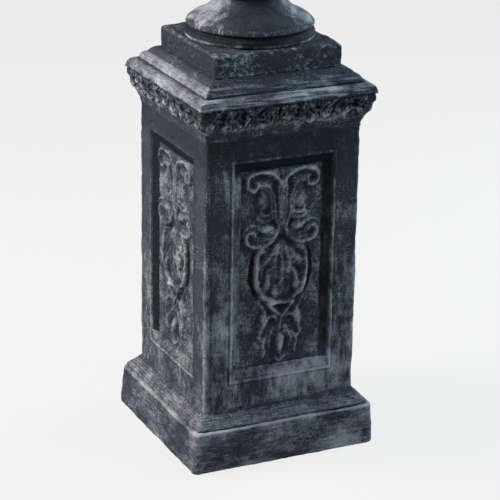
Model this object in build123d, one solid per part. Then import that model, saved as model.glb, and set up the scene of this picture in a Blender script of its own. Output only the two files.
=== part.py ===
"""A square garden pedestal in cast stone, built up in dry-set and bedded courses.

From the ground up: a hollow plinth block, a sloping base moulding, a hollow die with a relief
panel let into each side, a leafed cornice, a moulded cap, and the square plate and turned foot
that carry the ornament. The cap lifts off the cornice, and the plate lifts off the cap.

Millimetres, +Z up, origin at the centre of the underside. The front faces -Y.
"Half" is half the width of a square course across its flat sides.
"""

from build123d import *
import os

# Driving dimensions of the courses
PLINTH_HALF = 200.0
PLINTH_TOP_HALF = 195.0
PLINTH_TOP = 82.0
PLINTH_CORNER = 18.0
PLINTH_ARRIS = 3.0
BED = 2.0  # thickness of a bedding joint
BED_INSET = 4.0  # how far a bed stops short of the face of the course it carries
MOULDING_FOOT_HALF = 188.0
MOULDING_RISE = 28.0
DIE_HALF = 163.5
DIE_CORNER = 8.0
DIE_HEIGHT = 549.0
CORNICE_HEIGHT = 65.0
CAP_HEIGHT = 47.0
CAP_HALF = 187.0
PLATE_HALF = 133.5
PLATE_HEIGHT = 45.0
PLATE_CORNER = 6.0
PLATE_EDGE = 9.0
FOOT_BED = 1.0
FOOT_BED_RADIUS = 120.0
FOOT_HEIGHT = 102.0
CORE_HALF = 100.0  # the hollow through plinth, moulding, die and cornice

# Relief panels, one in each side of the die
PANEL_OPEN_WIDTH = 212.0
PANEL_OPEN_HEIGHT = 447.0
PANEL_OPEN_BOTTOM = 170.0
PANEL_MIDDLE = PANEL_OPEN_BOTTOM + PANEL_OPEN_HEIGHT / 2
PANEL_BEVEL = 20.0
PANEL_DEPTH = 10.0
PANEL_THICKNESS = 12.0
PANEL_CLEARANCE = 0.5
ADHESIVE = 2.0
LIP_WIDTH = 5.0
LIP_PROUD = 1.5
RELIEF = 9.0

# Dowels and their holes
DOWEL_RADIUS = 6.0
FOOT_DOWEL_RADIUS = 10.0
HOLE_CLEARANCE = 0.75
DOWEL_GRIP = 22.0  # how far each end of a dowel goes into its course
SHORT_GRIP = 18.0
FOOT_DOWEL_DOWN = 38.0
FOOT_DOWEL_UP = 30.0
END_GAP = 3.0  # free space beyond the upper end of a dowel
CORNER_DOWEL = 135.0
SIDE_DOWEL = 145.0
SOCKET_RADIUS = 10.5
SOCKET_DEPTH = 45.0

# Levels, each course standing on the one before
MOULDING_Z = PLINTH_TOP + BED
MOULDING_TOP = MOULDING_Z + MOULDING_RISE
DIE_Z = MOULDING_TOP + BED
DIE_TOP = DIE_Z + DIE_HEIGHT
CORNICE_Z = DIE_TOP + BED
CAP_Z = CORNICE_Z + CORNICE_HEIGHT
CAP_TOP = CAP_Z + CAP_HEIGHT
PLATE_TOP = CAP_TOP + PLATE_HEIGHT
FOOT_Z = PLATE_TOP + FOOT_BED
FOOT_TOP = FOOT_Z + FOOT_HEIGHT

CORNERS = [(x, y) for x in (-CORNER_DOWEL, CORNER_DOWEL) for y in (-CORNER_DOWEL, CORNER_DOWEL)]
SIDES = [(-SIDE_DOWEL, 0), (SIDE_DOWEL, 0), (0, -SIDE_DOWEL), (0, SIDE_DOWEL)]
CENTRE = [(0, 0)]


def square_block(half, bottom, top, corner=0.0):
    """An upright square prism, its plan corners rounded if a radius is given."""
    plan = RectangleRounded(2 * half, 2 * half, corner) if corner else Rectangle(2 * half, 2 * half)
    return Pos(0, 0, bottom) * extrude(plan, amount=top - bottom)


def square_course(side):
    """A moulded course whose half width follows side, drawn upwards as (half, height), on all four sides."""
    low, high = side @ 0, side @ 1
    other = mirror(side, about=Plane.YZ)
    section = make_face(
        [
            *side.edges(),
            Line(high, (-high.X, high.Y)),
            *other.edges(),
            Line((-low.X, low.Y), low),
        ]
    )
    prism = extrude(Plane.XZ * section, amount=2 * PLINTH_HALF, both=True)
    return prism & Rot(0, 0, 90) * prism


def pins(places, radius, bottom, top):
    """One upright cylinder at each place."""
    pin = Cylinder(radius, top - bottom, align=(Align.CENTER, Align.CENTER, Align.MIN))
    return Compound([Pos(x, y, bottom) * pin for x, y in places])


def drill(course, places, radius, bottom, top):
    """The course with an upright hole at each place."""
    for hole in pins(places, radius + HOLE_CLEARANCE, bottom, top).solids():
        course -= hole
    return course


def core(bottom, top):
    """The square hollow through the lower courses."""
    return square_block(CORE_HALF, bottom, top)


def bed(half, bottom, places):
    """A thin bedding joint between two hollow courses, pierced by their dowels."""
    joint = square_block(half, bottom, bottom + BED) - core(bottom, bottom + BED)
    return drill(joint, places, DOWEL_RADIUS, bottom, bottom + BED)


def plinth_block():
    """The lowest course: slightly drawn in towards the top, with a rounded upper arris."""
    foot = Plane.XY * RectangleRounded(2 * PLINTH_HALF, 2 * PLINTH_HALF, PLINTH_CORNER)
    head = Plane.XY.offset(PLINTH_TOP) * RectangleRounded(
        2 * PLINTH_TOP_HALF, 2 * PLINTH_TOP_HALF, PLINTH_CORNER
    )
    block = loft([foot, head])
    block = fillet(block.faces().sort_by(Axis.Z)[-1].edges(), PLINTH_ARRIS)
    block -= core(0, PLINTH_TOP)
    return drill(block, SIDES, DOWEL_RADIUS, PLINTH_TOP - DOWEL_GRIP, PLINTH_TOP)


def base_moulding():
    """The weathered slope from the plinth up to the foot of the die."""
    lip = 3.0
    side = Polyline(
        (MOULDING_FOOT_HALF, MOULDING_Z),
        (MOULDING_FOOT_HALF, MOULDING_Z + lip),
        (DIE_HALF + lip, MOULDING_TOP - lip),
        (DIE_HALF + 1.0, MOULDING_TOP),
    )
    course = square_course(side) - core(MOULDING_Z, MOULDING_TOP)
    course = drill(course, SIDES, DOWEL_RADIUS, MOULDING_Z, MOULDING_Z + SHORT_GRIP + END_GAP)
    return drill(course, CORNERS, DOWEL_RADIUS, MOULDING_TOP - SHORT_GRIP, MOULDING_TOP)


def around_the_die(piece):
    """The piece as drawn on the front, and its copies on the other three sides."""
    return [Rot(0, 0, turn) * piece for turn in (0, 90, 180, 270)]


def on_front(depth):
    """A plane parallel to the front face, depth behind it, centred on the panel, looking out."""
    return Plane(origin=(0, depth - DIE_HALF, PANEL_MIDDLE), x_dir=(1, 0, 0), z_dir=(0, -1, 0))


def panel_rectangle(depth, inset):
    """The panel's outline, set in from the opening by inset, at a depth behind the face."""
    return on_front(depth) * Rectangle(PANEL_OPEN_WIDTH - 2 * inset, PANEL_OPEN_HEIGHT - 2 * inset)


def panel_pocket():
    """What a panel's bevelled opening and the pocket behind it take out of the die."""
    bevel = loft([panel_rectangle(0, 0), panel_rectangle(PANEL_DEPTH, PANEL_BEVEL)])
    behind = extrude(panel_rectangle(PANEL_DEPTH, PANEL_BEVEL), amount=-(PANEL_THICKNESS + ADHESIVE))
    return bevel + behind


def panel_lip():
    """The narrow raised border round a panel's opening."""
    border = panel_rectangle(0, -LIP_WIDTH) - panel_rectangle(0, 0)
    return extrude(border, amount=LIP_PROUD)


def die_shell():
    """The tall hollow body with a bevelled panel opening in each side."""
    shell = square_block(DIE_HALF, DIE_Z, DIE_TOP, DIE_CORNER) - core(DIE_Z, DIE_TOP)
    for pocket in around_the_die(panel_pocket()):
        shell -= pocket
    for lip in around_the_die(panel_lip()):
        shell += lip
    shell = drill(shell, CORNERS, DOWEL_RADIUS, DIE_Z, DIE_Z + DOWEL_GRIP + END_GAP)
    return drill(shell, CORNERS, DOWEL_RADIUS, DIE_TOP - DOWEL_GRIP, DIE_TOP)


def strap(points, width):
    """A raised strap of even width along a smooth line through points, in the panel's plane."""
    return trace(Spline([(across, up - PANEL_MIDDLE) for across, up in points]), width)


def leaf(across, up, half_width, half_height, lean=0.0):
    """An almond-shaped lobe, leaning anticlockwise by lean degrees."""
    return Pos(across, up - PANEL_MIDDLE) * Rot(0, 0, lean) * Ellipse(half_width, half_height)


def half_ornament():
    """The right-hand half of the relief: scrolls and buds over an urn-shaped cartouche and leaves.

    Places are given as (distance from the panel's middle line, height above the ground).
    """
    shapes = [
        # upper scroll and its volute
        strap([(3, 545), (7, 570), (24, 588), (46, 592), (65, 584), (73, 568), (65, 554), (52, 553)], 8),
        leaf(55, 567, 8, 8),
        # stem with two buds
        strap([(46, 560), (30, 558), (21, 540), (19, 515), (17, 490), (8, 462)], 7),
        leaf(35, 508, 6, 9, -60),
        leaf(40, 496, 6, 9, -75),
        # middle scroll, its volute and the horn above it
        strap([(4, 500), (12, 474), (28, 452), (48, 443), (67, 449), (72, 463), (60, 471)], 8),
        leaf(57, 458, 7, 7),
        leaf(33, 473, 7, 17, -70),
        strap([(48, 479), (62, 485), (74, 479), (79, 468)], 5),
        # fan of leaves under the middle scrolls
        leaf(36, 432, 6, 20, 62),
        leaf(25, 418, 6, 24, 38),
        leaf(10, 420, 6, 26, 14),
        # urn-shaped cartouche with inner band and leaf
        strap([(44, 424), (54, 402), (57, 376), (52, 350), (40, 328), (20, 310), (2, 288)], 8),
        strap([(36, 408), (44, 388), (43, 366), (34, 346)], 5),
        leaf(28, 368, 7, 22, -6),
        leaf(12, 350, 6, 14, -30),
        # lower lobes and side pendants
        strap([(3, 284), (20, 298), (36, 288), (46, 268), (56, 246)], 8),
        strap([(4, 270), (18, 276), (32, 264), (42, 244)], 7),
        strap([(10, 262), (24, 246), (30, 228), (30, 210)], 6),
    ]
    right = Pos(PANEL_OPEN_WIDTH / 4, 0) * Rectangle(PANEL_OPEN_WIDTH / 2, PANEL_OPEN_HEIGHT)
    return (Sketch() + shapes) & right


def spine_ornament():
    """The parts of the relief that lie on the panel's middle line."""
    return Sketch() + [
        leaf(0, 520, 6, 62),
        leaf(0, 378, 8, 68),
        leaf(0, 282, 5, 22),
        leaf(0, 230, 8, 25),
        leaf(0, 197, 5, 5),
    ]


def relief_panel():
    """One panel: a flat slab with its relief, as it sits in the front of the die."""
    inset = PANEL_BEVEL + PANEL_CLEARANCE
    slab = extrude(panel_rectangle(PANEL_DEPTH, inset), amount=-PANEL_THICKNESS)
    right = half_ornament()
    ornament = right + mirror(right, about=Plane.YZ) + spine_ornament()
    return slab + extrude(on_front(PANEL_DEPTH) * ornament, amount=RELIEF)


def panel_adhesive():
    """The adhesive layer behind one panel."""
    rectangle = panel_rectangle(PANEL_DEPTH + PANEL_THICKNESS, PANEL_BEVEL + BED_INSET)
    return extrude(rectangle, amount=-ADHESIVE)


def leaf_cornice():
    """The course that spreads from the die to the cap; its swelling carries the band of leaves."""
    leaf_foot = (175.0, CORNICE_Z + 23)
    leaf_swell = (180.0, CORNICE_Z + 38)
    leaf_head = (177.0, CAP_Z)
    side = (
        Line((DIE_HALF + 1.0, CORNICE_Z), (DIE_HALF + 1.0, CORNICE_Z + 7))
        + RadiusArc((DIE_HALF + 1.0, CORNICE_Z + 7), leaf_foot, 16)
        + ThreePointArc(leaf_foot, leaf_swell, leaf_head)
    )
    course = square_course(side) - core(CORNICE_Z, CAP_Z)
    course = drill(course, CORNERS, DOWEL_RADIUS, CORNICE_Z, CORNICE_Z + DOWEL_GRIP + END_GAP)
    return drill(course, SIDES, DOWEL_RADIUS, CAP_Z - DOWEL_GRIP, CAP_Z)


def cap():
    """The lift-off cap: a heavy ovolo, a quirk, a small roll and a weathered top."""
    nose = 4.0
    quirk_z = CAP_Z + 21
    roll_z = CAP_Z + 34
    quirk_half = CAP_HALF - 21
    roll_half = quirk_half - 13
    side = (
        Line((CAP_HALF - 3, CAP_Z), (CAP_HALF, CAP_Z + nose))
        + RadiusArc((CAP_HALF, CAP_Z + nose), (quirk_half + 3, quirk_z - 1), -18)
        + Line((quirk_half + 3, quirk_z - 1), (quirk_half, quirk_z - 1))
        + Line((quirk_half, quirk_z - 1), (quirk_half, quirk_z))
        + RadiusArc((quirk_half, quirk_z), (roll_half, roll_z), -13)
        + Line((roll_half, roll_z), (PLATE_HALF + 6, CAP_TOP))
    )
    slab = square_course(side)
    slab = drill(slab, SIDES, DOWEL_RADIUS, CAP_Z, CAP_Z + DOWEL_GRIP + END_GAP)
    return drill(slab, CENTRE, FOOT_DOWEL_RADIUS, CAP_TOP - FOOT_DOWEL_DOWN, CAP_TOP)


def square_plate():
    """The square plate under the turned foot, soft at its upper edge."""
    plate = square_block(PLATE_HALF, CAP_TOP, PLATE_TOP, PLATE_CORNER)
    plate = fillet(plate.faces().sort_by(Axis.Z)[-1].edges(), PLATE_EDGE)
    return drill(plate, CENTRE, FOOT_DOWEL_RADIUS, CAP_TOP, CAP_TOP + FOOT_DOWEL_UP + END_GAP)


def foot_bed():
    """The thin joint between the plate and the turned foot."""
    return Pos(0, 0, PLATE_TOP) * Cylinder(
        FOOT_BED_RADIUS, FOOT_BED, align=(Align.CENTER, Align.CENTER, Align.MIN)
    )


def turned_foot():
    """The round foot: bead, cove, rounded drum, hollow flare, collar and flat bearing top."""
    z = FOOT_Z
    bead = (128.0, z + 3)
    cove_foot = (125.0, z + 6)
    cove = (120.5, z + 12)
    drum_foot = (125.0, z + 18)
    drum = (124.0, z + 26)
    drum_top = (112.0, z + 40)
    neck = (68.0, z + 79)
    collar_foot = (69.0, z + 81)
    collar_top = (69.0, z + 93)
    half_collar = (collar_top[1] - collar_foot[1]) / 2
    seat = (63.0, FOOT_TOP)
    side = (
        Line((0, z), (125, z))
        + ThreePointArc((125, z), bead, cove_foot)
        + ThreePointArc(cove_foot, cove, drum_foot)
        + Spline([drum_foot, drum, drum_top], tangents=[(0.2, 1), (-1, 0.5)])
        + Spline([drum_top, (88.0, z + 52), (75.0, z + 64), neck], tangents=[(-1, 0.5), (0, 1)])
        + Line(neck, collar_foot)
        + RadiusArc(collar_foot, collar_top, -half_collar)
        + Line(collar_top, (seat[0], collar_top[1]))
        + Line((seat[0], collar_top[1]), seat)
        + Line(seat, (0, FOOT_TOP))
        + Line((0, FOOT_TOP), (0, z))
    )
    foot = revolve(Plane.XZ * make_face(side), axis=Axis.Z)
    socket = Cylinder(SOCKET_RADIUS, SOCKET_DEPTH, align=(Align.CENTER, Align.CENTER, Align.MAX))
    return foot - Pos(0, 0, FOOT_TOP) * socket


def build():
    """Every node by name."""
    panels = around_the_die(relief_panel())
    return {
        "plinth_block": plinth_block(),
        "moulding_bed": bed(MOULDING_FOOT_HALF - BED_INSET, PLINTH_TOP, SIDES),
        "base_moulding": base_moulding(),
        "die_bed": bed(DIE_HALF - BED_INSET, MOULDING_TOP, CORNERS),
        "die_shell": die_shell(),
        "relief_panel_front": panels[0],
        "relief_panel_right": panels[1],
        "relief_panel_back": panels[2],
        "relief_panel_left": panels[3],
        "panel_adhesive": Compound(around_the_die(panel_adhesive())),
        "cornice_bed": bed(DIE_HALF - BED_INSET, DIE_TOP, CORNERS),
        "leaf_cornice": leaf_cornice(),
        "cap": cap(),
        "square_plate": square_plate(),
        "foot_bed": foot_bed(),
        "turned_foot": turned_foot(),
        "plinth_dowels": pins(SIDES, DOWEL_RADIUS, PLINTH_TOP - DOWEL_GRIP, MOULDING_Z + SHORT_GRIP),
        "die_dowels": pins(CORNERS, DOWEL_RADIUS, MOULDING_TOP - SHORT_GRIP, DIE_Z + DOWEL_GRIP),
        "cornice_dowels": pins(CORNERS, DOWEL_RADIUS, DIE_TOP - DOWEL_GRIP, CORNICE_Z + DOWEL_GRIP),
        "cap_dowels": pins(SIDES, DOWEL_RADIUS, CAP_Z - DOWEL_GRIP, CAP_Z + DOWEL_GRIP),
        "foot_dowel": pins(CENTRE, FOOT_DOWEL_RADIUS, CAP_TOP - FOOT_DOWEL_DOWN, CAP_TOP + FOOT_DOWEL_UP),
    }


os.makedirs("parts", exist_ok=True)
for name, piece in build().items():
    export_step(piece, f"parts/{name}.step")
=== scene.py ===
"""The looks of a cast-stone garden pedestal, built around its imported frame.

Every visible course is a dense carved mesh: the square courses are outlines carried round a square
plan, the die and its relief panels are height fields, and the foot is turned. Metres throughout;
lengths written as whole millimetres are multiplied by MM. The front faces -Y and the ground is z = 0.
"""

import math

import bpy
import numpy as np
from mathutils import Matrix, Vector


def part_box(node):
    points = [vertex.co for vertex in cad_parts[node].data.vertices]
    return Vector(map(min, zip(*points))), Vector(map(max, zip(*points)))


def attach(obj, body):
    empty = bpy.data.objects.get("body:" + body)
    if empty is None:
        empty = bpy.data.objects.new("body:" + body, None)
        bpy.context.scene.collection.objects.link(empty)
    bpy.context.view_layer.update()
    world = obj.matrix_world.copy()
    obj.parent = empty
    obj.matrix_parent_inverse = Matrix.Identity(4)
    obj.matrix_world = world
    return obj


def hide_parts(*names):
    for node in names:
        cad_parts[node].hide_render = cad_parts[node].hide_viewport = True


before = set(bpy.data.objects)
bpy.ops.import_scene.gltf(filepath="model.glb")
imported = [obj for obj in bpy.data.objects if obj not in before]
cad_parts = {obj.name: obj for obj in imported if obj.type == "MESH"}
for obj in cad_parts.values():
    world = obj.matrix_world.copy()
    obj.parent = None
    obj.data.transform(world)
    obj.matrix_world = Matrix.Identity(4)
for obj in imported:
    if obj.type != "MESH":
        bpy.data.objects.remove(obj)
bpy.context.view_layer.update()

MM = 0.001
FRONT = -math.pi / 2  # direction of the first side's outward normal

# Camera, which looks from in front and to the left at a point near the pedestal's axis
CAMERA_AZIMUTH = math.radians(-25.47)
CAMERA_ELEVATION = math.radians(20.15)
CAMERA_ROLL = math.radians(0.93)
CAMERA_LENS = 148.4  # in millimetres, over a sensor 36 mm wide
CAMERA_DISTANCE = 4.148
AIM_ACROSS = 0.0069  # how far to the camera's right of the axis it looks
AIM_HEIGHT = 0.3752

# Fineness of the carved meshes
COLUMN = 2.2 * MM  # spacing along a side
ROW = 1.3 * MM  # spacing up an outline
CORNER_STEPS = 7  # columns round a corner

# Courses
CORE_HALF = 100 * MM  # the square hollow through the lower courses
BED_INSET = 4 * MM  # how far a bed stops short of the face of its course
RING_INNER = CORE_HALF + 40 * MM  # where the fine rows on a hollow course's level faces stop
JOINT_INNER = CORE_HALF + 30 * MM  # the same for the die and the mortar joints
SLAB_INNER = 60 * MM  # the same for a solid course

# Relief panels, sunk in the four sides of the die
SUNK = 10 * MM  # depth of a panel's floor behind the face
BEVEL = 20 * MM  # width of the slope round it
SLAB = 12 * MM  # thickness of a panel
CLEARANCE = 0.5 * MM  # gap round a panel
LIP_PROUD = 1.5 * MM  # height of the border round an opening


# ---------------------------------------------------------------- numbers and outlines


def lumps(points, size, seed):
    """Smooth noise of about unit height, its bumps about size across, from seeded sine waves."""
    draw = np.random.default_rng(seed)
    waves = 24
    heading = draw.normal(size=(waves, 3))
    heading /= np.linalg.norm(heading, axis=1, keepdims=True)
    heading *= 2 * math.pi / size * draw.uniform(0.6, 1.5, (waves, 1))
    phase = draw.uniform(0, 2 * math.pi, waves)
    return np.sin(points @ heading.T + phase).sum(-1) / math.sqrt(waves / 2)


def step(value, start, end):
    """A smooth step from 0 at start to 1 at end."""
    t = np.clip((value - start) / (end - start), 0, 1)
    return t * t * (3 - 2 * t)


def arc(start, end, bulge, count=9):
    """Points on the arc from start to end that stands bulge to the right of the chord."""
    start = np.array(start, float)
    end = np.array(end, float)
    chord = end - start
    t = np.linspace(-1, 1, count)
    half = np.hypot(*chord) / 2
    radius = (half * half + bulge * bulge) / (2 * bulge)
    rise = np.sign(bulge) * np.sqrt(radius**2 - (t * half) ** 2) - (radius - bulge)
    right = np.array([chord[1], -chord[0]]) / (2 * half)
    return [tuple(p) for p in (start + end) / 2 + np.outer(t, chord / 2) + np.outer(rise, right)]


def soften(corners, reach):
    """The outline with every inner corner rounded off from reach before it to reach after it."""
    corners = [np.array(c, float) for c in corners]
    line = [corners[0]]
    for before, here, after in zip(corners, corners[1:], corners[2:]):
        back = before - here
        ahead = after - here
        cut = min(reach, 0.45 * np.hypot(*back), 0.45 * np.hypot(*ahead))
        enter = here + back / np.hypot(*back) * cut
        leave = here + ahead / np.hypot(*ahead) * cut
        for t in np.linspace(0, 1, 6):
            line.append((1 - t) ** 2 * enter + 2 * t * (1 - t) * here + t * t * leave)
    return np.array(line + [corners[-1]])


def even(line, spacing):
    """The line again with points about spacing apart."""
    run = np.concatenate([[0], np.cumsum(np.hypot(*np.diff(line, axis=0).T))])
    places = np.linspace(0, run[-1], int(run[-1] / spacing) + 2)
    return np.stack([np.interp(places, run, line[:, i]) for i in (0, 1)], axis=1)


def smooth_line(points, spacing):
    """A curve through given points (Catmull-Rom), with points about spacing apart."""
    p = np.array(points, float)
    p = np.vstack([2 * p[0] - p[1], p, 2 * p[-1] - p[-2]])
    t = np.linspace(0, 1, 12, endpoint=False)[:, None]
    line = []
    for a, b, c, d in zip(p, p[1:], p[2:], p[3:]):
        straight = b + (c - a) * t / 2
        line.append(straight + (a - 2.5 * b + 2 * c - d / 2) * t**2 + (1.5 * (b - c) + (d - a) / 2) * t**3)
    return even(np.vstack(line + [p[-2:-1]]), spacing)


def normals_of(line):
    """The outward unit normal at each point of an outline drawn upwards."""
    run = np.gradient(line, axis=0)
    return np.stack([run[:, 1], -run[:, 0]], 1) / np.hypot(*run.T)[:, None]


def unrolled(across, height):
    """Places on a face laid out flat, for unevenness that follows the face."""
    return np.stack([across, 0 * across, height], -1)


def blurred(field, size):
    """The field averaged over a soft patch of about size grid steps."""
    reach = np.add.outer(np.fft.fftfreq(field.shape[0]) ** 2, np.fft.rfftfreq(field.shape[1]) ** 2)
    return np.fft.irfft2(np.fft.rfft2(field) * np.exp(-2 * (math.pi * size) ** 2 * reach), field.shape)


# ---------------------------------------------------------------- meshes


def ring_faces(rows, columns, closed):
    """Quads between rows of points that each go once round; closed joins the last row to the first."""
    index = np.arange(rows * columns).reshape(rows, columns)
    low = index if closed else index[:-1]
    high = np.roll(index, -1, 0) if closed else index[1:]
    return np.stack([low, np.roll(low, -1, 1), np.roll(high, -1, 1), high], -1).reshape(-1, 4)


def capped_faces(rows, columns):
    """Quads between rows of points, closed by one flat face below and one above."""
    faces = ring_faces(rows, columns, closed=False).tolist()
    faces.append(list(range(columns))[::-1])
    faces.append(list(range((rows - 1) * columns, rows * columns)))
    return faces


def piece(name, node, points, faces, look, wash_and_light, hollow=None, body="pedestal"):
    """A smooth-shaded mesh that stands for a CAD node.

    wash (the pale coat together with painted light and shade) and hollow (painted shade) steer the stone's
    colour: one value for each point from the first on, then zeros.
    """
    mesh = bpy.data.meshes.new(name)
    mesh.from_pydata(points.reshape(-1, 3).tolist(), [], faces)
    for label, values in (("wash_and_light", wash_and_light), ("hollow", hollow)):
        steer = np.zeros(len(mesh.vertices), np.float32)
        if values is not None:
            steer[:values.size] = values.ravel()
        mesh.attributes.new(label, "FLOAT", "POINT").data.foreach_set("value", steer)
    mesh.shade_smooth()
    mesh.set_sharp_from_angle(angle=math.radians(55))
    mesh.materials.append(look)
    thing = bpy.data.objects.new(name, mesh)
    bpy.context.scene.collection.objects.link(thing)
    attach(thing, body)
    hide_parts(node)


def around(half, corner, along):
    """Columns round a square plan: places, outward directions, and distances from each side's middle."""
    turn = np.linspace(0, math.pi / 2, CORNER_STEPS + 2)[1:-1]
    out = np.concatenate([np.ones(len(along)), np.cos(turn)])
    side = np.concatenate([np.zeros(len(along)), np.sin(turn)])
    reach = np.concatenate([along, np.ones(len(turn))])
    flat = np.asarray(half)[:, None] - corner
    forward = flat + corner * out
    across = flat * reach + corner * side
    places = []
    normals = []
    for quarter in range(4):
        angle = FRONT + quarter * math.pi / 2
        ahead = np.array([math.cos(angle), math.sin(angle)])
        beside = np.array([-math.sin(angle), math.cos(angle)])
        places.append(forward[..., None] * ahead + across[..., None] * beside)
        normals.append(np.broadcast_to(out[:, None] * ahead + side[:, None] * beside, places[-1].shape))
    return np.concatenate(places, 1), np.concatenate(normals, 1), np.tile(across, (1, 4))


def square_skin(line, corner, along, carve=None, rough=0.35 * MM, seed=1):
    """The outline line, given upwards as (half width, height), carried round a square plan.

    carve(across, height) gives how far each point stands proud; rough is the unevenness.
    """
    normal = normals_of(line)
    places, outward, across = around(line[:, 0], corner, along)
    height = np.broadcast_to(line[:, 1:], across.shape)
    points = np.concatenate([places, height[..., None]], -1)
    upward = np.broadcast_to(normal[:, 1:, None], across.shape + (1,))
    facing = np.concatenate([outward * normal[:, :1, None], upward], -1)
    proud = rough * (lumps(points, 90 * MM, seed) + 0.7 * lumps(points, 22 * MM, seed + 1))
    if carve:
        proud = proud + carve(across, height)
    proud = proud * step(normal[:, 1:], -1.0, -0.8)  # the underside stays true
    points = points + proud[..., None] * facing
    points[..., 2] = np.maximum(points[..., 2], line[0, 1])
    return points, across, height


def square_ring(line, corner, along, **more):
    """A hollow square course: its carved skin, closed by the square core through it."""
    skin, across, height = square_skin(line, corner, along, **more)
    core = []
    for level in (line[-1, 1], line[0, 1]):
        places, _, _ = around([CORE_HALF], 1 * MM, along)
        core.append(np.concatenate([places[0], np.full((places.shape[1], 1), level)], 1))
    points = np.concatenate([skin, np.array(core)])
    return points, ring_faces(*points.shape[:2], closed=True).tolist(), across, height


def square_slab(line, corner, along, **more):
    """A solid square course, closed by flat faces below and above."""
    skin, across, height = square_skin(line, corner, along, **more)
    return skin, capped_faces(*skin.shape[:2]), across, height


def spread(half, spacing=COLUMN):
    """Even places along a side, as fractions of its half length."""
    return np.linspace(-1, 1, int(2 * half / spacing))


# ---------------------------------------------------------------- materials


def add(tree, kind, inputs, **settings):
    """One shader node, its inputs set to values or linked to other nodes' outputs."""
    made = tree.nodes.new(kind)
    for name, value in settings.items():
        setattr(made, name, value)
    for name, value in inputs.items():
        if isinstance(value, bpy.types.NodeSocket):
            tree.links.new(value, made.inputs[name])
        else:
            made.inputs[name].default_value = value
    return made


def noise(tree, place, scale, detail=3.0, rough=0.6, stretch=(1, 1, 1)):
    """Noise between 0 and 1, its grain drawn out where stretch is below 1."""
    mapped = add(tree, "ShaderNodeMapping", {"Vector": place, "Scale": stretch}).outputs["Vector"]
    inputs = {"Vector": mapped, "Scale": scale, "Detail": detail, "Roughness": rough}
    return add(tree, "ShaderNodeTexNoise", inputs).outputs["Fac"]


def maths(tree, operation, first, second):
    """The result of one arithmetic node."""
    return add(tree, "ShaderNodeMath", {0: first, 1: second}, operation=operation).outputs["Value"]


def weighted(tree, total, sources):
    """The total with each source added, times its weight."""
    for source, weight in sources:
        inputs = {0: source, 1: weight, 2: total}
        total = add(tree, "ShaderNodeMath", inputs, operation="MULTIPLY_ADD").outputs["Value"]
    return total


def between(tree, value, low, high, bottom=0.0, top=1.0):
    """Value carried smoothly from low..high to bottom..top."""
    inputs = {"Value": value, "From Min": low, "From Max": high, "To Min": bottom, "To Max": top}
    return add(tree, "ShaderNodeMapRange", inputs, interpolation_type="SMOOTHSTEP").outputs["Result"]


def blend(tree, factor, first, second):
    """First colour turning into second as factor goes from 0 to 1."""
    inputs = {0: factor, 6: first, 7: second}
    return add(tree, "ShaderNodeMix", inputs, data_type="RGBA").outputs[2]


def colour(red, green, blue):
    """An opaque colour from its linear parts."""
    return (red, green, blue, 1.0)


def blank_look(name):
    """A new material with its node tree, its shader and the place on the object that is being shaded."""
    look = bpy.data.materials.new(name)
    look.use_nodes = True
    tree = look.node_tree
    place = add(tree, "ShaderNodeTexCoord", {}).outputs["Object"]
    return look, tree, tree.nodes["Principled BSDF"], place


def finish_look(tree, shader, base, roughness, height, strength, depth):
    """Base colour, roughness and fine relief of up to depth, given to a material's shader."""
    inputs = {"Height": height, "Strength": strength, "Distance": depth}
    bump = add(tree, "ShaderNodeBump", inputs)
    tree.links.new(base, shader.inputs["Base Color"])
    tree.links.new(roughness, shader.inputs["Roughness"])
    tree.links.new(bump.outputs["Normal"], shader.inputs["Normal"])


def stone(name, stretch=(1, 1, 1)):
    """Slate-coloured cast stone with a chalky coat rubbed over it, drawn out along stretch, and painted
    light and shade.
    """
    look, tree, shader, place = blank_look(name)
    wash_and_light = add(tree, "ShaderNodeAttribute", {}, attribute_name="wash_and_light").outputs["Fac"]
    hollow = add(tree, "ShaderNodeAttribute", {}, attribute_name="hollow").outputs["Fac"]
    blotch = noise(tree, place, 13, 4)
    mottle = noise(tree, place, 60, 4, 0.65)
    rubbed = noise(tree, place, 130, 4, 0.7, stretch)
    brushed = noise(tree, place, 420, 2, 0.6, [part**1.5 for part in stretch])
    speck = noise(tree, place, 330, 2, 0.7)

    # how much chalk shows: the piece's own wash, which also carries painted light and shade, broken up by
    # noise that averages 0
    weights = ((blotch, 1.0), (mottle, 0.8), (rubbed, 0.9), (brushed, 0.7), (speck, 0.7))
    level = maths(tree, "ADD", wash_and_light, -0.5 * sum(weight for _, weight in weights))
    chalk_and_light = between(tree, weighted(tree, level, weights), -0.30, 1.05)

    slate = blend(tree, mottle, colour(0.009, 0.012, 0.017), colour(0.034, 0.042, 0.056))
    greener = between(tree, blotch, 0.40, 0.60)
    chalky = blend(tree, greener, colour(0.262, 0.268, 0.315), colour(0.242, 0.276, 0.305))
    washed_and_lit = blend(tree, chalk_and_light, slate, chalky)
    # painted shade: the hollow attribute darkens the stone nearly to black where shade falls
    painted_shade = between(tree, hollow, 0.0, 1.0, 0.0, 0.92)
    shaded_stone = blend(tree, painted_shade, washed_and_lit, colour(0.004, 0.006, 0.010))

    # light flecks, in patches, and few in the hollows
    patchy = between(tree, blotch, 0.40, 0.62, 0.05, 0.70)
    exposed = maths(tree, "MULTIPLY", patchy, between(tree, hollow, 0.1, 0.7, 1.0, 0.1))
    flecks = maths(tree, "MULTIPLY", between(tree, speck, 0.57, 0.68), exposed)
    base = blend(tree, flecks, shaded_stone, colour(0.25, 0.262, 0.295))

    cells = add(tree, "ShaderNodeTexVoronoi", {"Vector": place, "Scale": 130}, feature="F1")
    pits = maths(tree, "MULTIPLY", between(tree, cells.outputs["Distance"], 0.05, 0.35), 0.6)
    height = weighted(tree, pits, ((mottle, 1.6), (rubbed, 1.4), (brushed, 0.8), (speck, 0.7)))
    finish_look(tree, shader, base, between(tree, rubbed, 0.2, 0.8, 0.65, 0.90), height, 0.7, 1.1 * MM)
    shader.inputs["Specular IOR Level"].default_value = 0.08
    return look


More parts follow.
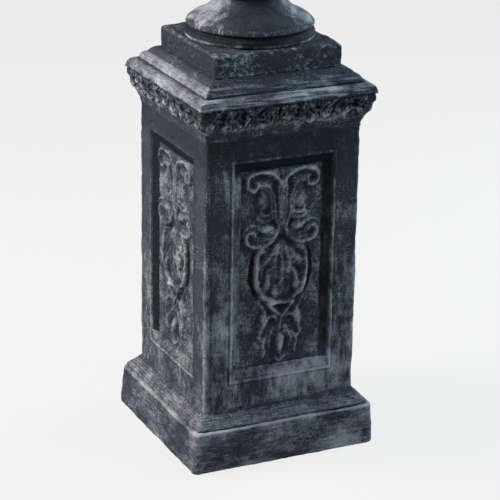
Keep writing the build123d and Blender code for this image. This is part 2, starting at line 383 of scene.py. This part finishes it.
def mortar():
    """Dark sandy bedding mortar."""
    look, tree, shader, place = blank_look("bedding_mortar")
    sand = noise(tree, place, 600, 3, 0.7)
    patch = noise(tree, place, 40, 3)
    ground = blend(tree, patch, colour(0.018, 0.020, 0.024), colour(0.050, 0.054, 0.062))
    base = blend(tree, between(tree, sand, 0.5, 0.75), ground, colour(0.12, 0.125, 0.13))
    finish_look(tree, shader, base, between(tree, sand, 0.2, 0.8, 0.75, 0.95), sand, 0.7, 0.6 * MM)
    return look


def dowel_steel():
    """Drawn stainless bar with long drawing marks and a few dull spots."""
    look, tree, shader, place = blank_look("dowel_bar")
    drawn = noise(tree, place, 900, 3, 0.6, (1, 1, 0.03))
    dull = noise(tree, place, 70, 4)
    base = blend(tree, dull, colour(0.36, 0.36, 0.37), colour(0.60, 0.60, 0.61))
    finish_look(tree, shader, base, between(tree, drawn, 0.2, 0.8, 0.25, 0.5), drawn, 0.25, 0.2 * MM)
    shader.inputs["Metallic"].default_value = 1.0
    return look


LEVEL = (0.22, 0.22, 1.0)  # wash rubbed along the mouldings
UPRIGHT = (1.0, 1.0, 0.3)  # wash run down the die
MOULDED = stone("moulded_stone", LEVEL)
DIE_STONE = stone("die_stone", UPRIGHT)
CARVED = stone("carved_stone")
POINTED = stone("rubbed_mortar", LEVEL)
MORTAR = mortar()
STEEL = dowel_steel()


# ---------------------------------------------------------------- courses


def course(node):
    """Half width, foot level and head level of a square CAD course."""
    low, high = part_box(node)
    return high.x, low.z, high.z


def plinth():
    """The lowest course, slightly drawn in towards its rounded upper arris."""
    half, foot, head = course("plinth_block")
    draw_in = 5 * MM
    arris = 4 * MM
    side = [(RING_INNER, foot), (half, foot), (half - draw_in, head), (RING_INNER, head)]
    line = even(soften(side, arris), ROW)

    def crisper(across, height):
        """The corner between the left side and the front is sharper than the others."""
        more = np.zeros(across.shape[1])
        more[-CORNER_STEPS:] = 2.2 * MM * np.sin(np.linspace(0, math.pi, CORNER_STEPS + 2)[1:-1])
        return np.broadcast_to(more, across.shape)

    points, faces, _, height = square_ring(
        line, 18 * MM, spread(half), carve=crisper, rough=0.5 * MM, seed=11)
    skin = points[:len(height)]
    edge = step(height, head - 6 * MM, head) * step(line[:, :1], half - 22 * MM, half - 8 * MM)
    low = step(height, 40 * MM, foot)
    left = step(-skin[..., 0], half - 10 * MM, half - 6 * MM)
    # painted shade: the left face is made darker, to temper the key light that falls on it
    wash_and_light = -0.02 + 0.16 * lumps(skin, 120 * MM, 13) + 0.50 * edge + 0.14 * low - 0.16 * left
    piece("plinth_stone", "plinth_block", points, faces, MOULDED, wash_and_light)


def moulding():
    """The weathered slope, combed with fine level tool marks."""
    half, foot, head = course("base_moulding")
    die_half = course("cornice_bed")[0] + BED_INSET
    lip = 3 * MM
    comb = 4.2 * MM  # from one tool mark to the next
    side = [(RING_INNER, foot), (half, foot), (half, foot + lip), (die_half + lip, head - lip),
            (die_half + MM, head), (RING_INNER, head)]
    line = even(soften(side, 1.6 * MM), 0.9 * MM)

    def marks(height):
        """The tool marks, from -1 in their grooves to 1 between them."""
        return np.sin(2 * math.pi * (height - foot) / comb)

    def combed(across, height):
        """The slope carries the marks, a little unevenly."""
        on_slope = step(height, foot + lip, foot + 2 * lip) * step(height, head - lip, head - 2 * lip)
        uneven = lumps(unrolled(0.3 * across, height), 7 * MM, 23)
        return 0.22 * MM * on_slope * (marks(height) + uneven)

    points, faces, _, height = square_ring(line, 7 * MM, spread(half), carve=combed, seed=21)
    # painted shade: the slope is darker along its top, where it meets the die
    wash_and_light = 0.08 + 0.07 * marks(height) - 0.25 * step(height, head - 9 * MM, head - 4 * MM)
    piece("moulding_stone", "base_moulding", points, faces, MOULDED, wash_and_light)


def pointing():
    """Mortar pointed up at each bedding joint: set back over the plinth, rubbed flush round the die."""
    joints = (
        ("moulding_bed", 7 * MM, -3.0 * MM, -0.35, MORTAR),
        ("die_bed", 8 * MM, 0.4 * MM, 0.0, POINTED),
        ("cornice_bed", 6 * MM, 0.4 * MM, -0.35, POINTED),
    )
    for node, corner, proud, chalk_and_light, look in joints:
        half, foot, head = course(node)
        face = half + BED_INSET + proud
        crown = (face + 0.2 * MM, (foot + head) / 2)
        line = np.array([(JOINT_INNER, foot), (face, foot), crown, (face, head), (JOINT_INNER, head)])
        points, faces, _, height = square_ring(line, corner, spread(half, 6 * MM), rough=0.2 * MM, seed=26)
        name = node.replace("_bed", "_pointing")
        piece(name, node, points, faces, look, np.full(height.shape, chalk_and_light))


def die():
    """The hollow die: soft arrises, and a lipped, bevelled opening over each relief panel."""
    half, foot, head = course("die_shell")
    half -= LIP_PROUD
    low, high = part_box("relief_panel_front")
    opening = high.x + CLEARANCE + BEVEL
    opening_up = (high.z - low.z) / 2 + CLEARANCE + BEVEL
    middle = (low.z + high.z) / 2
    corner = 8 * MM
    wall_step = 0.04 * MM  # width of the steep step from the bevel's foot to the back of the pocket

    # section through lip and bevel: distances inside the opening's edge, and depths behind the face
    lip_knots = np.array([-7.0, -6.0, -4.8, -3.4, -1.8, -0.4, 0.8]) * MM
    lip_depths = np.array([0.0, 0.1, -1.2, -1.7, -1.6, -0.8, 0.9]) * MM
    knots = np.concatenate([lip_knots, [BEVEL, BEVEL + wall_step]])
    depths = np.concatenate([lip_depths, [SUNK, SUNK + SLAB + 2 * MM]])

    def lines(inside, outside):
        """Grid places from the middle out: coarse in the pocket, exact at the bevel, even beyond."""
        pocket = np.linspace(0, inside - BEVEL - wall_step, 22)
        bevel = np.linspace(inside - BEVEL, inside, 14)[:-1]
        beyond = np.linspace(inside + 7 * MM, outside, int((outside - inside) / (3 * MM)) + 2)
        return np.unique(np.concatenate([pocket, bevel, inside - knots, beyond]).round(7))

    def inset_at(across, height):
        """How far inside the opening's edge a place lies."""
        return np.minimum(opening - np.abs(across), opening_up - np.abs(height - middle))

    def sunk(across, height):
        """How far the face stands proud of its plane."""
        return -np.interp(inset_at(across, height), knots, depths)

    right = lines(opening, half - corner)
    along = np.concatenate([-right[:0:-1], right]) / (half - corner)
    down = lines(opening_up, middle - foot - MM)
    up = lines(opening_up, head - middle - MM)
    levels = np.concatenate([middle - down[::-1], middle + up[1:]])
    wall = np.stack([np.full(len(levels), half), levels], 1)
    edge = half - 0.4 * MM
    line = np.concatenate([[(JOINT_INNER, foot), (edge, foot)], wall, [(edge, head), (JOINT_INNER, head)]])
    points, faces, across, height = square_ring(line, corner, along, carve=sunk, rough=0.45 * MM, seed=31)

    skin = points[:len(height)]
    inset = inset_at(across, height)
    rise = (height - foot) / (head - foot)
    on_bevel = step(inset, 1 * MM, 4 * MM) * (inset < BEVEL)
    on_lip = step(inset, -6 * MM, -4 * MM) * step(inset, 1 * MM, 0)
    groove = step(inset, -9 * MM, -7 * MM) * step(inset, -5 * MM, -6.5 * MM)
    lower_bevel = height < middle - opening_up + BEVEL
    ledge = on_bevel * lower_bevel * (opening - np.abs(across) > inset - 0.1 * MM)
    arris = step(np.abs(across), half - 13 * MM, half - 7 * MM)
    left = step(-skin[..., 0], half - 16 * MM, half - 12 * MM)
    patches = 0.13 * lumps(skin, 120 * MM, 33) + 0.10 * lumps(skin * [1, 1, 0.35], 14 * MM, 34)
    # painted light and shade: darker towards the top, as shade under the cornice, and on the left face;
    # lighter on the lip, on the upward-facing lower bevel and along the arrises, most on the left; darker
    # in the groove at the lip's foot
    wash_and_light = 0.10 + patches * (1 - 0.4 * left) - 0.50 * rise**2 - (0.21 + 0.12 * step(rise, 0, 0.25)) * left
    wash_and_light = wash_and_light + 0.35 * on_lip + 0.14 * ledge + (0.12 + 0.33 * left) * arris - 0.3 * groove

    # painted shade on the bevels, least on those near the front-left arris, and under the cornice
    far = step(skin[..., 0] + skin[..., 1], -half - 10 * MM, 10 * MM - half)
    bevel_foot = middle + opening_up - BEVEL
    bevel_shade = np.maximum(far, step(height, bevel_foot - MM, bevel_foot))
    hollow = (0.25 + (0.50 + 0.20 * left) * bevel_shade) * on_bevel * (1 - ledge) + 0.55 * step(rise, 0.82, 0.96)
    piece("die_stone", "die_shell", points, faces, DIE_STONE, wash_and_light, hollow)


def leaf_band(across, height, foot, head, flat):
    """How far the carved leaves stand proud: curled leaves of uneven length, bigger at the corners."""
    spot = unrolled(across, height)
    count = round(2 * flat / (37 * MM))
    turn = (across + 3 * MM * lumps(spot, 40 * MM, 45)) * count / (2 * flat) + count / 2
    which = np.floor(turn).astype(int) % count
    place = turn % 1 - 0.5  # across one leaf, from -0.5 to 0.5
    up = (height - foot) / (head - foot)
    draw = np.random.default_rng(46)
    tip = draw.uniform(0.28, 0.46, count)[which]
    curl = draw.uniform(1.2, 2.4, count)[which]
    deep = draw.uniform(0.5, 1.2, count)[which]
    width = 0.50 * step(up, tip, tip + 0.2) * (1 + 0.2 * np.cos(up * 38 + which))
    body = np.sqrt(np.clip(1 - (place / np.maximum(width, 0.01)) ** 2, 0, 1)) * (up > tip)
    veins = place * 6 * math.pi + 9 * up * np.sign(place) + 2 * lumps(spot, 25 * MM, 48)
    rolled = np.exp(-(((up - tip - 0.09) / 0.08) ** 2))
    leaf = body * (3.4 * (0.65 + 0.35 * np.cos(veins)) + curl * rolled + 0.8)
    holes = np.exp(-(((np.abs(place) - 0.5) / 0.16) ** 2) - ((up - 0.80) / 0.10) ** 2)
    eyes = np.exp(-((np.abs(place) - 0.2) / 0.09) ** 2 - ((up - 0.78) / 0.07) ** 2)
    carved = leaf - deep * (5.5 * holes + 4.0 * eyes) + 0.6 * lumps(spot, 12 * MM, 49) * step(up, 0.2, 0.4)
    from_corner = flat + 4 * MM - np.abs(across)
    corner = step(from_corner, 26 * MM, 8 * MM) * step(up, 0.25, 0.6)
    lobed = (5.5 + 1.2 * np.cos(up * 30) * np.cos(from_corner / MM * 0.45)) * step(up, 0.98, 0.70)
    carved = carved * (1 - corner) + lobed * corner
    return MM * carved * step(up, 0.18, 0.34) * step(up, 1.0, 0.93)


def cornice():
    """The spreading course with its band of curled leaves, and the lip the cap sits on."""
    half, foot, head = course("leaf_cornice")
    neck = course("cornice_bed")[0] + BED_INSET + 0.6 * MM
    out = half - 5 * MM
    side = [
        (RING_INNER, foot),
        (neck, foot),
        (neck, foot + 6 * MM),
        (neck + 3 * MM, foot + 12 * MM),
        (out - 4 * MM, foot + 23 * MM),
        (out, foot + 30 * MM),
        (out + MM, foot + 48 * MM),
        (half + 3 * MM, foot + 54 * MM),
        (half + 4 * MM, head),
        (RING_INNER, head),
    ]
    line = even(soften(side, 4 * MM), 1.0 * MM)

    def leaves(across, height):
        """The leaves, kept off the level faces."""
        return step(line[:, :1], 158 * MM, 162 * MM) * leaf_band(across, height, foot, head, out)

    points, faces, across, height = square_ring(
        line, 6 * MM, spread(half, 1.6 * MM), carve=leaves, rough=0.5 * MM, seed=41)
    carved = leaf_band(across, height, foot, head, out) / MM
    up = (height - foot) / (head - foot)
    fine = carved - blurred(carved, 4)
    tips = step(up, 0.22, 0.34) * step(up, 0.70, 0.5)
    patches = 0.16 * lumps(points[:len(height)], 30 * MM, 43)
    # the leaves' raised parts and tips are lighter: partly chalk on the high spots, partly painted
    # highlight
    wash_and_light = -0.22 + patches + (0.12 + 0.08 * tips) * np.clip(fine, -2, 4) + 0.22 * tips
    # painted shade: between the leaves, under the ovolo and along the foot of the band
    shade_between_leaves = step(fine, 0.6, -1.8) * step(up, 0.40, 0.55)
    hollow = shade_between_leaves + 0.30 * step(up, 0.55, 0.75) + 0.35 * step(up, 0.3, 0.1)
    piece("cornice_stone", "leaf_cornice", points, faces, CARVED, wash_and_light, hollow)


def cap():
    """The lift-off cap: ovolo, quirk, small roll and weathered top."""
    half, foot, head = course("cap")
    plate_half = course("square_plate")[0]
    quirk = half - 20 * MM
    quirk_z = foot + 20 * MM
    roll_z = foot + 37 * MM
    side = [
        (SLAB_INNER, foot),
        (half - 3 * MM, foot),
        *arc((half - MM, foot + 2 * MM), (quirk + 2 * MM, quirk_z), 6.5 * MM),
        (quirk - 1.2 * MM, quirk_z - 0.6 * MM),
        *arc((quirk - 0.6 * MM, quirk_z + MM), (quirk - 12 * MM, roll_z - MM), 3.0 * MM),
        *arc((quirk - 13 * MM, roll_z - 0.6 * MM), (plate_half + 5 * MM, head), 1.5 * MM),
        (SLAB_INNER, head),
    ]
    line = even(soften(side, 0.8 * MM), 1.0 * MM)

    def ragged(across, height):
        """The lower edge of the ovolo is unevenly rubbed."""
        uneven = lumps(unrolled(across, height), 14 * MM, 57)
        return 1.3 * MM * uneven * step(height, foot + 12 * MM, foot + 1 * MM)

    points, faces, across, height = square_slab(line, 6 * MM, spread(half), carve=ragged, seed=51)
    out = line[:, :1]
    left = step(-points[..., 0] - np.abs(points[..., 1]), -MM, MM)  # the side the key light falls on, painted lighter
    streaks = (0.22 - 0.19 * left) * lumps(unrolled(0.06 * across, height + 0.4 * out), 4 * MM, 58)
    on_ovolo = step(height, foot + 1 * MM, foot + 6 * MM) * step(out, quirk, quirk + 2 * MM)
    on_roll = step(height, quirk_z + MM, quirk_z + 4 * MM) * step(out, quirk - 15 * MM, quirk - 12 * MM)
    on_top = step(height, roll_z, roll_z + 4 * MM)
    # painted light and shade: the roll is lighter, most on the left where the light falls, and the top is
    # darker on the other three sides
    wash_and_light = -0.30 + 0.52 * on_ovolo + (0.22 + 0.36 * left) * on_roll - 0.25 * (1 - left) * on_top + streaks
    piece("cap_stone", "cap", points, faces, MOULDED, wash_and_light, body="cap")


def plate():
    """The square plate under the foot, soft along its upper edge."""
    half, foot, head = course("square_plate")
    arris = 6 * MM
    side = [
        (SLAB_INNER, foot),
        (half - MM, foot),
        (half, foot + MM),
        *arc((half, head - arris), (half - arris, head), 1.8 * MM),
        (SLAB_INNER, head),
    ]
    line = even(np.array(side), ROW)
    points, faces, _, height = square_slab(line, 6 * MM, spread(half), rough=0.5 * MM, seed=61)
    edge = step(height, head - 9 * MM, head - 3 * MM) * step(line[:, :1], half - 10 * MM, half - 4 * MM)
    low = step(height, foot + 10 * MM, foot + 2 * MM)
    left = step(-points[..., 0], half - 4 * MM, half - MM)
    patches = sum(share * lumps(points, size * MM, seed) for share, size, seed in
                  ((0.10, 60, 63), (0.20, 16, 64), (0.12, 7, 65)))
    # painted shade: the left face is darker, its wash lowered and its hollow darkening raised below the
    # top edge
    wash_and_light = -0.36 + patches + 0.30 * edge + 0.30 * low - 0.20 * left
    hollow = 0.55 * left * step(height, head - 2 * MM, head - 8 * MM)
    piece("plate_stone", "square_plate", points, faces, MOULDED, wash_and_light, hollow, body="foot")


def turned_foot():
    """The round foot: base ring, quirk, shoulder, hollow flare, collar, seat and dowel socket."""
    low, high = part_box("turned_foot")
    z = low.z
    top = high.z
    seat = 63 * MM
    socket = 10.5 * MM
    socket_depth = 45 * MM
    base_ring = [(124.5, 0.0), (126.4, 1.5), (127.0, 6.0), (126.4, 11.0), (123.8, 14.5)]
    quirk = [(120.4, 16.5), (120.0, 19.5), (123.0, 21.5)]
    shoulder = [(124.6, 24.5), (123.8, 28.5), (121.4, 32.0), (117.5, 36.0), (111.0, 40.5)]
    flare = [(99.5, 46.0), (87.5, 52.0), (79.0, 58.5), (73.0, 65.0), (69.4, 72.0), (68.0, 79.0)]
    rings = base_ring + quirk + shoulder + flare
    side = [
        (0.0, z),
        *smooth_line([(radius * MM, z + rise * MM) for radius, rise in rings], 1.0 * MM),
        *arc((69 * MM, z + 81 * MM), (69 * MM, z + 93 * MM), 5.5 * MM),
        (seat, z + 93 * MM),
        (seat, top),
        (socket, top),
        (socket, top - socket_depth),
        (0.0, top - socket_depth),
    ]
    line = even(soften(side, 0.5 * MM), 1.2 * MM)[1:-1]
    turns = 288
    angle = np.arange(turns) * 2 * math.pi / turns
    normal = normals_of(line)
    spoke = np.stack([np.cos(angle), np.sin(angle)], 1)
    flat = np.ones((len(line), turns, 1))
    points = np.concatenate([line[:, :1, None] * spoke, line[:, 1:, None] * flat], -1)
    facing = np.concatenate([normal[:, :1, None] * spoke, normal[:, 1:, None] * flat], -1)
    outer = step(line[:, :1], 20 * MM, 40 * MM) * step(normal[:, 1:], -1.0, -0.8)
    proud = outer * 0.35 * MM * (lumps(points, 70 * MM, 71) + 0.6 * lumps(points, 20 * MM, 72))
    points = points + proud[..., None] * facing

    rise = (line[:, 1:] - z) / MM
    # painted light and shade: the flare is lighter towards the left and right, where the side lights fall,
    # and darker facing the front, where the light lower edge of the base ring fades too
    facing_front = np.cos(angle - FRONT + 0.25) + 0.06 * lumps(points, 30 * MM, 75)
    front_shade = step(facing_front, 0.45, 1.0)
    rubbed = step(rise, 27, 38) * (0.70 - 1.05 * front_shade)
    runs = step(lumps(points * [1, 1, 0.4], 9 * MM, 73), 0.2, 0.8)
    drips = 0.5 * step(rise, 22, 25) * step(rise, 40, 29) * runs
    base_line = 0.7 * step(rise, 7, 4) * (1 - 0.7 * front_shade)
    wash_and_light = -0.40 + rubbed + drips + base_line + 0.14 * lumps(points, 30 * MM, 74)
    # painted shade: darkest under the shoulder and in the quirk, and on the front of the flare
    hollow = (0.75 + 0.23 * step(rise, 12, 15)) * step(rise, 5, 8) * step(rise, 26, 21)
    hollow = hollow + 0.45 * front_shade * step(rise, 26, 34)
    faces = capped_faces(len(line), turns)
    piece("foot_stone", "turned_foot", points, faces, DIE_STONE, wash_and_light, hollow, body="foot")


# ---------------------------------------------------------------- relief panels


def strap(across, up, points, width, height, ends=(0.5, 0.45)):
    """Height of a rounded strap along a smooth line; ends says how far its two ends narrow."""
    line = smooth_line(points, 1.5)
    far = np.hypot(across[..., None] - line[:, 0], up[..., None] - line[:, 1])
    along = far.argmin(-1) / (len(line) - 1)
    shrink = np.interp(along, [0, 0.25, 0.7, 1], [ends[0], 1, 1, ends[1]])
    t = far.min(-1) / (width / 2 * shrink)
    return height * (0.6 + 0.4 * shrink) * np.clip(1 - t**2, 0, 1) ** 0.6


def lobe(across, up, centre, half_width, half_height, lean, height, ribs=1):
    """Height of an almond-shaped leaf, leaning anticlockwise by lean degrees, with ribs along it."""
    angle = math.radians(lean)
    x = across - centre[0]
    y = up - centre[1]
    side = x * math.cos(angle) + y * math.sin(angle)
    along = y * math.cos(angle) - x * math.sin(angle)
    narrowed = half_width * (1 - 0.35 * along / half_height)
    t = np.hypot(side / narrowed, along / half_height)
    ribbed = 0.82 + 0.18 * np.cos(2 * math.pi * ribs * side / half_width)
    return height * np.clip(1 - t**2, 0, 1) ** 0.6 * ribbed


def ornament(across, up):
    """The relief's height in millimetres at places given as (across, up) in millimetres."""
    side = np.abs(across)

    def stroke(*shape):
        """A strap, the same on both halves."""
        return strap(side, up, *shape)

    def leaf(*shape):
        """A leaf, the same on both halves."""
        return lobe(side, up, *shape)

    shapes = [
        # upper scroll: thin broad hood, volute, and the leaf under the hood
        stroke([(3, 560), (9, 574), (20, 584), (36, 591), (54, 592), (70, 586), (77, 574), (72, 561),
                (61, 556), (53, 562), (55, 571), (61, 573)], 10, 9.5, (0.8, 0.6)),
        leaf((36, 568), 9, 15, -75, 7),
        # little palmette between the hoods
        leaf((14, 593), 5, 10, -40, 7),
        leaf((0, 590), 5, 13, 0, 8),
        # double stem, oval boss beside it, the strand beside the middle leaf, and two curled buds
        stroke([(55, 562), (42, 566), (30, 562), (22, 548), (18, 530), (16, 510), (13, 490), (6, 468)],
               6, 9, (0.7, 0.9)),
        stroke([(46, 557), (35, 555), (28, 545), (25, 530), (23, 512), (19, 495)], 5, 7, (0.5, 0.8)),
        leaf((41, 533), 14, 22, -6, 7.5, 0),
        stroke([(6, 574), (9, 552), (8, 525), (6, 498), (4, 475)], 7, 8, (0.7, 0.7)),
        stroke([(20, 510), (30, 503), (42, 505), (49, 512), (44, 517)], 6, 8),
        stroke([(20, 498), (32, 492), (45, 493), (52, 500), (47, 505)], 6, 8),
        # bright wedge of leaf in the crook of the middle scroll
        leaf((35, 476), 10, 19, -80, 9, 0),
        # middle scroll with its volute, the ridges inside it, and the horn above it
        stroke([(6, 470), (16, 455), (30, 446), (46, 441), (62, 443), (73, 451), (76, 463), (69, 472),
                (59, 470), (56, 463)], 8, 10, (0.8, 0.6)),
        stroke([(5, 480), (14, 465), (26, 456), (42, 451), (56, 452)], 5, 8.5),
        stroke([(5, 488), (12, 474), (24, 464), (38, 459), (52, 460)], 4, 7.5),
        stroke([(50, 482), (62, 486), (74, 482), (82, 472), (84, 462)], 6, 7),
        # fan of fluted leaves under the middle scrolls
        leaf((40, 430), 8, 20, 66, 8),
        leaf((29, 414), 10, 32, 40, 9),
        leaf((14, 412), 8, 38, 16, 9.5),
        # urn-shaped cartouche: outer rim, inner band, and leaves inside
        stroke([(40, 440), (49, 424), (54, 402), (54, 378), (50, 356), (41, 339), (28, 328), (12, 322)],
               12, 8.5, (0.7, 0.8)),
        stroke([(38, 408), (43, 390), (42, 368), (37, 352), (28, 341)], 4, 7),
        leaf((31, 368), 9, 26, 4, 11, 0),
        leaf((14, 350), 7, 20, -20, 8),
        leaf((14, 380), 7, 24, 12, 8),
        # calyx: a bar and the V under it
        stroke([(0, 319), (14, 320), (30, 318)], 8, 10.5, (1, 0.6)),
        stroke([(28, 319), (15, 306), (2, 291)], 8, 10.5, (0.8, 0.8)),
        # lower leaves: thin outer line, broad leaf, inner curl and side pendant
        stroke([(54, 345), (48, 326), (40, 312), (34, 300), (33, 286)], 5, 7),
        leaf((37, 288), 11, 26, 10, 9),
        stroke([(4, 292), (12, 306), (22, 314), (30, 312)], 5, 7),
        stroke([(6, 280), (14, 292), (25, 292), (33, 280), (40, 266), (44, 252), (38, 244), (31, 248)],
               7, 9),
        stroke([(6, 270), (15, 264), (22, 250), (24, 236), (20, 224)], 5, 7.5),
        stroke([(28, 256), (34, 244), (36, 232), (33, 218), (36, 208)], 6, 8, (0.6, 0.7)),
        # on the middle line
        leaf((0, 520), 7, 62, 0, 8),
        leaf((0, 384), 8, 56, 0, 9.5),
        stroke([(0, 294), (0, 262)], 6, 8, (0.9, 0.6)),
        leaf((0, 229), 9, 27, 180, 10, 0),
        strap(across, up, [(-12, 212), (-8, 201), (0, 197), (8, 201), (12, 212)], 5, 8, (0.6, 0.6)),
    ]
    power = 7  # how nearly the highest shape wins where several overlap
    return sum(np.clip(shape, 0, None) ** power for shape in shapes) ** (1 / power)


def slab_mesh(front, back_y):
    """A closed slab: its front is the grid of points, its back is flat at back_y."""
    rows, columns = front.shape[:2]
    index = np.arange(rows * columns).reshape(rows, columns)
    rim = np.concatenate([index[0], index[1:, -1], index[-1, -2::-1], index[-2:0:-1, 0]])
    behind = rows * columns + np.arange(len(rim))
    back = front.reshape(-1, 3)[rim] * [1, 0, 1] + [0, back_y, 0]
    quads = np.stack([index[:-1, :-1], index[:-1, 1:], index[1:, 1:], index[1:, :-1]], -1)
    edges = np.stack([rim, behind, np.roll(behind, -1), np.roll(rim, -1)], 1)
    faces = quads.reshape(-1, 4).tolist() + edges.tolist() + [behind.tolist()]
    return np.concatenate([front.reshape(-1, 3), back]), faces


def relief_panels():
    """The four relief panels: one carved sheet over its slab, turned to each side of the die."""
    low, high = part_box("relief_panel_front")
    floor_y = high.y - SLAB
    half = high.x
    height = high.z - low.z
    columns = np.linspace(-half, half, int(2 * half / MM) + 1)
    rows = np.linspace(0, height, int(height / MM) + 1)
    across, up = np.meshgrid(columns, rows)
    edge = np.minimum.reduce([half - np.abs(across), up, height - up])
    spot = unrolled(across, up + low.z)

    # the drawing, a little out of true, softened as a casting is
    drawn_across = (across + 0.8 * MM * lumps(spot, 26 * MM, 81)) / MM
    drawn_up = (up + low.z + 0.8 * MM * lumps(spot, 26 * MM, 82)) / MM
    drawn = ornament(drawn_across, drawn_up)
    soft = 0.35 * blurred(drawn, 1.3) + 0.72 * blurred(drawn, 4)
    carved = soft * (1 + 0.06 * lumps(spot, 12 * MM, 83)) * step(edge, 0, 4 * MM)
    beside_rim = [(57, 428), (63, 404), (63, 378), (58, 350), (49, 332)]
    crescent = strap(np.abs(drawn_across), drawn_up, beside_rim, 11, 1)
    carved = carved + 0.25 * lumps(spot, 11 * MM, 84) - 2.5 * crescent
    points, faces = slab_mesh(np.stack([across, floor_y - carved * MM, up + low.z], -1), high.y)

    # raised parts lighter and hollows darker: partly chalk on the high spots, partly painted highlight and
    # painted shade; the crescent beside the cartouche's rim is cut in a little and painted dark as its
    # shadow
    relative = carved - blurred(carved, 9)
    patches = 0.12 * lumps(spot, 50 * MM, 85)
    hollow = np.clip(-0.28 * relative - 0.11 + 0.5 * crescent, 0, 1)
    for quarter, side in enumerate(("front", "right", "back", "left")):
        turned = points @ np.array(Matrix.Rotation(quarter * math.pi / 2, 3, "Z")).T
        contrast = 0.09 if side == "left" else 0.16  # the left panel is painted with less light-and-dark contrast, as the raking light on that side shades it already
        wash_and_light = -0.08 + contrast * relative + patches
        node = "relief_panel_" + side
        piece("relief_" + side, node, turned, faces, CARVED, wash_and_light, hollow)


# ---------------------------------------------------------------- stage, light and camera


def stage_floor():
    """A plain pale lit floor that takes only a faint shadow."""
    bpy.ops.mesh.primitive_plane_add(size=60)
    floor = bpy.context.object
    floor.name = "studio_floor"
    look = bpy.data.materials.new("floor_paper")
    look.use_nodes = True
    shader = look.node_tree.nodes["Principled BSDF"]
    shader.inputs["Base Color"].default_value = colour(0.04, 0.04, 0.04)
    shader.inputs["Roughness"].default_value = 1.0
    shader.inputs["Specular IOR Level"].default_value = 0.0
    shader.inputs["Emission Color"].default_value = colour(1, 1, 1)
    shader.inputs["Emission Strength"].default_value = 0.81
    floor.data.materials.append(look)
    floor.visible_glossy = False


def softbox(name, direction, distance, size, power, tint):
    """A square softbox of some watts that looks at the middle of the object from a direction."""
    lamp = bpy.data.lights.new(name, "AREA")
    lamp.size = size
    lamp.energy = power
    lamp.color = tint
    holder = bpy.data.objects.new(name, lamp)
    bpy.context.scene.collection.objects.link(holder)
    away = Vector(direction).normalized()
    holder.location = Vector((0, 0, 0.45)) + away * distance
    holder.rotation_euler = away.to_track_quat("Z", "Y").to_euler()


def light():
    """Soft light from the left and a little behind, a weaker one from the right, and a dim front fill."""
    world = bpy.data.worlds.new("studio_world")
    world.use_nodes = True
    background = world.node_tree.nodes["Background"]
    background.inputs["Color"].default_value = colour(0.84, 0.84, 0.84)
    background.inputs["Strength"].default_value = 1.0
    bpy.context.scene.world = world
    world.cycles_visibility.glossy = False
    world.cycles_visibility.diffuse = False
    softbox("key_softbox", (-0.80, 0.28, 0.53), 3.0, 1.6, 260, (1.0, 0.91, 0.88))
    softbox("right_softbox", (0.90, 0.10, 0.42), 3.0, 1.4, 130, (0.85, 0.98, 1.0))
    softbox("front_softbox", (0.55, -0.55, 0.62), 3.5, 1.5, 80, (0.72, 0.88, 1.0))
    bpy.context.scene.view_settings.view_transform = "Standard"


def camera():
    """The camera, turned a little about its own axis."""
    sin_a = math.sin(CAMERA_AZIMUTH)
    cos_a = math.cos(CAMERA_AZIMUTH)
    sin_e = math.sin(CAMERA_ELEVATION)
    cos_e = math.cos(CAMERA_ELEVATION)
    back = Vector((sin_a * cos_e, -cos_a * cos_e, sin_e))
    right = Vector((cos_a, sin_a, 0))
    up = back.cross(right)
    turned_right = math.cos(CAMERA_ROLL) * right + math.sin(CAMERA_ROLL) * up
    turned_up = back.cross(turned_right)
    target = AIM_ACROSS * right + Vector((0, 0, AIM_HEIGHT))
    lens = bpy.data.cameras.new("camera")
    lens.lens = CAMERA_LENS
    lens.sensor_width = 36
    seen = bpy.data.objects.new("camera", lens)
    bpy.context.scene.collection.objects.link(seen)
    turn = Matrix((turned_right, turned_up, back)).transposed().to_4x4()
    seen.matrix_world = Matrix.Translation(target + CAMERA_DISTANCE * back) @ turn
    bpy.context.scene.camera = seen


def finish_hidden_nodes():
    """Mortar and steel on the CAD nodes that stay."""
    mortared = ("foot_bed", "panel_adhesive")
    dowels = ("plinth_dowels", "die_dowels", "cornice_dowels", "cap_dowels", "foot_dowel")
    for nodes, look in ((mortared, MORTAR), (dowels, STEEL)):
        for node in nodes:
            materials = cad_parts[node].data.materials
            materials.clear()
            materials.append(look)


camera()
stage_floor()
light()
finish_hidden_nodes()
plinth()
moulding()
pointing()
die()
relief_panels()
cornice()
cap()
plate()
turned_foot()
